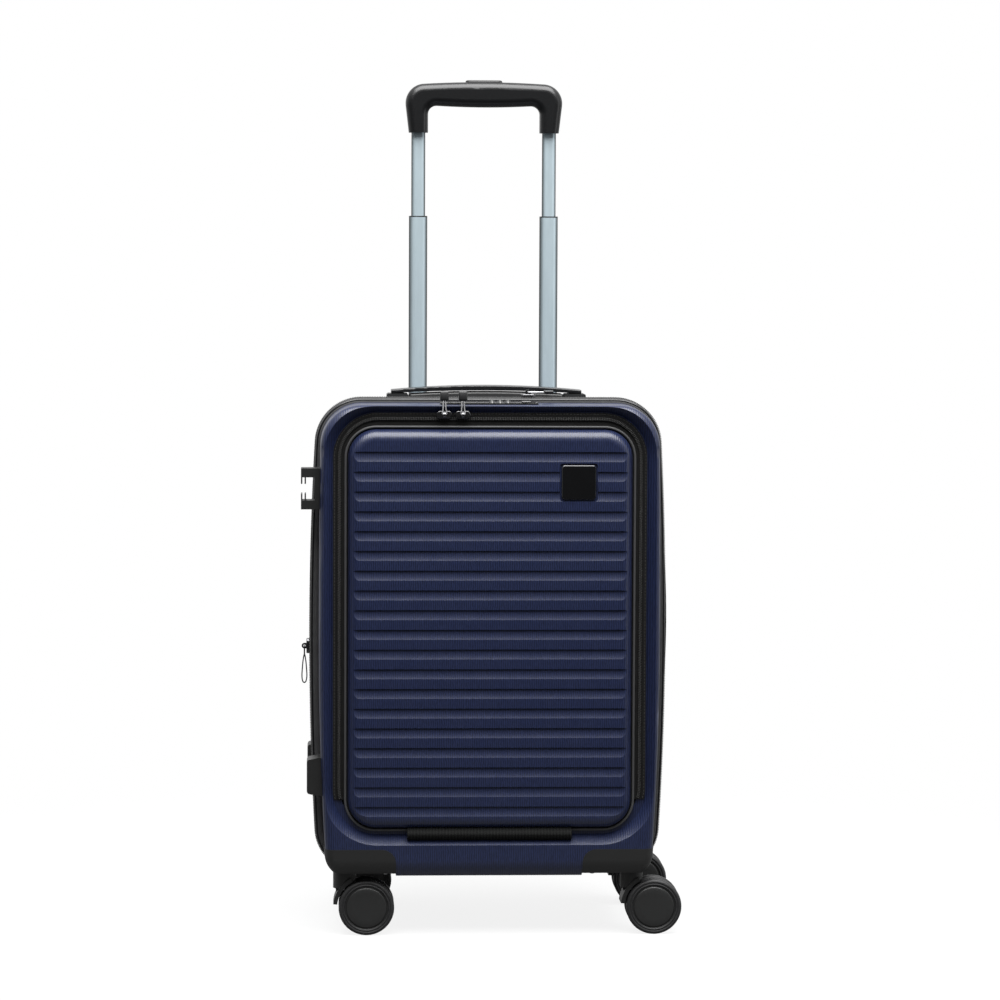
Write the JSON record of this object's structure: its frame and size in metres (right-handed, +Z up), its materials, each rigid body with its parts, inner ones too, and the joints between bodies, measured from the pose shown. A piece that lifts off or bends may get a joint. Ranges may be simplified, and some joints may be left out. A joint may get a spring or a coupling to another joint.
{
  "type": "hard shell suitcase on wheels",
  "caption": "Upright hard shell cabin suitcase with a ribbed front pocket panel, zip belt, combination lock, telescoping trolley handle and twin-wheel swivel casters.",
  "frame": {"origin": "on the floor under the middle of the case", "axes": "+Z up, -Y out of the front pocket panel, +X to the right seen from the front"},
  "size_m": [0.384, 0.2313, 0.8655],
  "materials": {
    "shell": "satin with a fine grain",
    "trim_black": "satin",
    "grip_black": "soft touch",
    "belt": "woven tape",
    "lining": "plain woven",
    "tube": "anodised satin",
    "steel": "bright",
    "slider_metal": "black nickel",
    "badge": "gloss",
    "lock": "satin",
    "wheel": "satin"
  },
  "bodies": {
    "rear_half": {"rear_shell": "shell", "rear_lining": "lining", "packing_straps": "belt", "main_gusset": "belt", "outer_tubes": "tube", "trolley_bezel": "trim_black", "trolley_base": "trim_black", "top_handle_brackets": "trim_black", "side_handle_brackets": "trim_black", "rear_side_foot": "trim_black", "rear_wheel_housings": "trim_black", "rear_kingpins": "steel"},
    "front_half": {"front_shell": "shell", "pocket_wall": "lining", "main_zip_front": "belt", "pocket_zip_frame": "belt", "lock_case": "lock", "front_side_foot": "trim_black", "side_hook": "trim_black", "front_wheel_housings": "trim_black", "front_kingpins": "steel"},
    "panel": {"front_panel": "shell", "pocket_zip_panel": "belt", "panel_hinge_webbing": "belt", "badge_plate": "badge"},
    "middle_stage": {"middle_tubes": "tube", "tube_collars": "trim_black"},
    "handle": {"inner_tubes": "tube", "grip": "grip_black"},
    "grip_button": {"grip_button": "trim_black"},
    "top_carry_handle": {"top_carry_handle": "grip_black"},
    "side_carry_handle": {"side_carry_handle": "grip_black"},
    "lock_dial_1": {"lock_dial_1": "lock"},
    "lock_dial_2": {"lock_dial_2": "lock"},
    "lock_dial_3": {"lock_dial_3": "lock"},
    "lock_button": {"lock_button": "lock"},
    "pocket_slider_left": {"pocket_slider_left": "slider_metal"},
    "pocket_slider_right": {"pocket_slider_right": "slider_metal"},
    "pocket_puller_left": {"pocket_puller_left": "slider_metal"},
    "pocket_puller_right": {"pocket_puller_right": "slider_metal"},
    "expander_slider": {"expander_slider": "slider_metal"},
    "expander_puller": {"expander_puller": "slider_metal"},
    "main_slider": {"main_slider": "slider_metal"},
    "main_puller": {"main_puller": "slider_metal"},
    "front_left_fork": {"front_left_fork": "trim_black", "front_left_axle": "steel"},
    "front_left_wheel_a": {"front_left_wheel_a": "wheel"},
    "front_left_wheel_b": {"front_left_wheel_b": "wheel"},
    "front_right_fork": {"front_right_fork": "trim_black", "front_right_axle": "steel"},
    "front_right_wheel_a": {"front_right_wheel_a": "wheel"},
    "front_right_wheel_b": {"front_right_wheel_b": "wheel"},
    "rear_left_fork": {"rear_left_fork": "trim_black", "rear_left_axle": "steel"},
    "rear_left_wheel_a": {"rear_left_wheel_a": "wheel"},
    "rear_left_wheel_b": {"rear_left_wheel_b": "wheel"},
    "rear_right_fork": {"rear_right_fork": "trim_black", "rear_right_axle": "steel"},
    "rear_right_wheel_a": {"rear_right_wheel_a": "wheel"},
    "rear_right_wheel_b": {"rear_right_wheel_b": "wheel"}
  },
  "joints": [
    {"name": "main_hinge", "type": "hinge", "parent": "rear_half", "child": "front_half", "pos_m": [-0.181, -0.05485, 0.2975], "axis": [0, 0, -1], "range_deg": [0, 180]},
    {"name": "panel_hinge", "type": "hinge", "parent": "front_half", "child": "panel", "pos_m": [0, -0.1135, 0.1042], "axis": [1, 0, 0], "range_deg": [0, 95]},
    {"name": "middle_slide", "type": "slide", "parent": "rear_half", "child": "middle_stage", "axis": [0, 0, 1], "range_m": [-0.23, 0]},
    {"name": "inner_slide", "type": "slide", "parent": "middle_stage", "child": "handle", "axis": [0, 0, 1], "range_m": [-0.086, 0.137]},
    {"name": "release_press", "type": "slide", "parent": "handle", "child": "grip_button", "axis": [0, 0, -1], "range_m": [0, 0.004], "stiffness_N_per_m": 400},
    {"name": "top_handle_lift", "type": "slide", "parent": "rear_half", "child": "top_carry_handle", "axis": [0, 0, 1], "range_m": [0, 0.006]},
    {"name": "side_handle_pull", "type": "slide", "parent": "rear_half", "child": "side_carry_handle", "axis": [1, 0, 0], "range_m": [0, 0.006], "stiffness_N_per_m": 200},
    {"name": "lock_release", "type": "slide", "parent": "front_half", "child": "lock_button", "axis": [1, 0, 0], "range_m": [0, 0.004], "stiffness_N_per_m": 200},
    {"name": "dial_1_turn", "type": "hinge", "parent": "front_half", "child": "lock_dial_1", "pos_m": [0.002, -0.083, 0.5304], "axis": [1, 0, 0], "continuous": true},
    {"name": "dial_2_turn", "type": "hinge", "parent": "front_half", "child": "lock_dial_2", "pos_m": [0.01, -0.083, 0.5304], "axis": [1, 0, 0], "continuous": true},
    {"name": "dial_3_turn", "type": "hinge", "parent": "front_half", "child": "lock_dial_3", "pos_m": [0.018, -0.083, 0.5304], "axis": [1, 0, 0], "continuous": true},
    {"name": "pocket_zip_left", "type": "slide", "parent": "front_half", "child": "pocket_slider_left", "axis": [1, 0, 0], "range_m": [-0.05, 0]},
    {"name": "pocket_puller_left_swing", "type": "hinge", "parent": "pocket_slider_left", "child": "pocket_puller_left", "pos_m": [-0.0465, -0.1125, 0.5248], "axis": [1, 0, 0], "range_deg": [0, 150]},
    {"name": "pocket_zip_right", "type": "slide", "parent": "front_half", "child": "pocket_slider_right", "axis": [1, 0, 0], "range_m": [0, 0.11]},
    {"name": "pocket_puller_right_swing", "type": "hinge", "parent": "pocket_slider_right", "child": "pocket_puller_right", "pos_m": [-0.028, -0.1125, 0.5248], "axis": [1, 0, 0], "range_deg": [0, 150]},
    {"name": "expander_zip", "type": "slide", "parent": "rear_half", "child": "expander_slider", "axis": [0, 0, 1], "range_m": [-0.04, 0.06]},
    {"name": "expander_puller_swing", "type": "hinge", "parent": "expander_slider", "child": "expander_puller", "pos_m": [-0.1858, -0.0424, 0.287], "axis": [0, 1, 0], "range_deg": [0, 180]},
    {"name": "main_zip", "type": "slide", "parent": "rear_half", "child": "main_slider", "axis": [1, 0, 0], "range_m": [-0.03, 0.05]},
    {"name": "main_puller_swing", "type": "hinge", "parent": "main_slider", "child": "main_puller", "pos_m": [0.04, -0.0505, 0.5453], "axis": [0, -1, 0], "range_deg": [0, 165]},
    {"name": "front_left_swivel", "type": "hinge", "parent": "front_half", "child": "front_left_fork", "pos_m": [-0.145, -0.085, 0.064], "axis": [0, 0, 1], "continuous": true},
    {"name": "front_left_wheel_a_roll", "type": "hinge", "parent": "front_left_fork", "child": "front_left_wheel_a", "pos_m": [-0.123, -0.085, 0.028], "axis": [0, 1, 0], "continuous": true},
    {"name": "front_left_wheel_b_roll", "type": "hinge", "parent": "front_left_fork", "child": "front_left_wheel_b", "pos_m": [-0.123, -0.085, 0.028], "axis": [0, 1, 0], "continuous": true},
    {"name": "front_right_swivel", "type": "hinge", "parent": "front_half", "child": "front_right_fork", "pos_m": [0.145, -0.085, 0.064], "axis": [0, 0, 1], "continuous": true},
    {"name": "front_right_wheel_a_roll", "type": "hinge", "parent": "front_right_fork", "child": "front_right_wheel_a", "pos_m": [0.167, -0.085, 0.028], "axis": [0, 1, 0], "continuous": true},
    {"name": "front_right_wheel_b_roll", "type": "hinge", "parent": "front_right_fork", "child": "front_right_wheel_b", "pos_m": [0.167, -0.085, 0.028], "axis": [0, 1, 0], "continuous": true},
    {"name": "rear_left_swivel", "type": "hinge", "parent": "rear_half", "child": "rear_left_fork", "pos_m": [-0.145, 0.081, 0.064], "axis": [0, 0, 1], "continuous": true},
    {"name": "rear_left_wheel_a_roll", "type": "hinge", "parent": "rear_left_fork", "child": "rear_left_wheel_a", "pos_m": [-0.123, 0.081, 0.028], "axis": [0, 1, 0], "continuous": true},
    {"name": "rear_left_wheel_b_roll", "type": "hinge", "parent": "rear_left_fork", "child": "rear_left_wheel_b", "pos_m": [-0.123, 0.081, 0.028], "axis": [0, 1, 0], "continuous": true},
    {"name": "rear_right_swivel", "type": "hinge", "parent": "rear_half", "child": "rear_right_fork", "pos_m": [0.145, 0.081, 0.064], "axis": [0, 0, 1], "continuous": true},
    {"name": "rear_right_wheel_a_roll", "type": "hinge", "parent": "rear_right_fork", "child": "rear_right_wheel_a", "pos_m": [0.167, 0.081, 0.028], "axis": [0, 1, 0], "continuous": true},
    {"name": "rear_right_wheel_b_roll", "type": "hinge", "parent": "rear_right_fork", "child": "rear_right_wheel_b", "pos_m": [0.167, 0.081, 0.028], "axis": [0, 1, 0], "continuous": true}
  ]
}
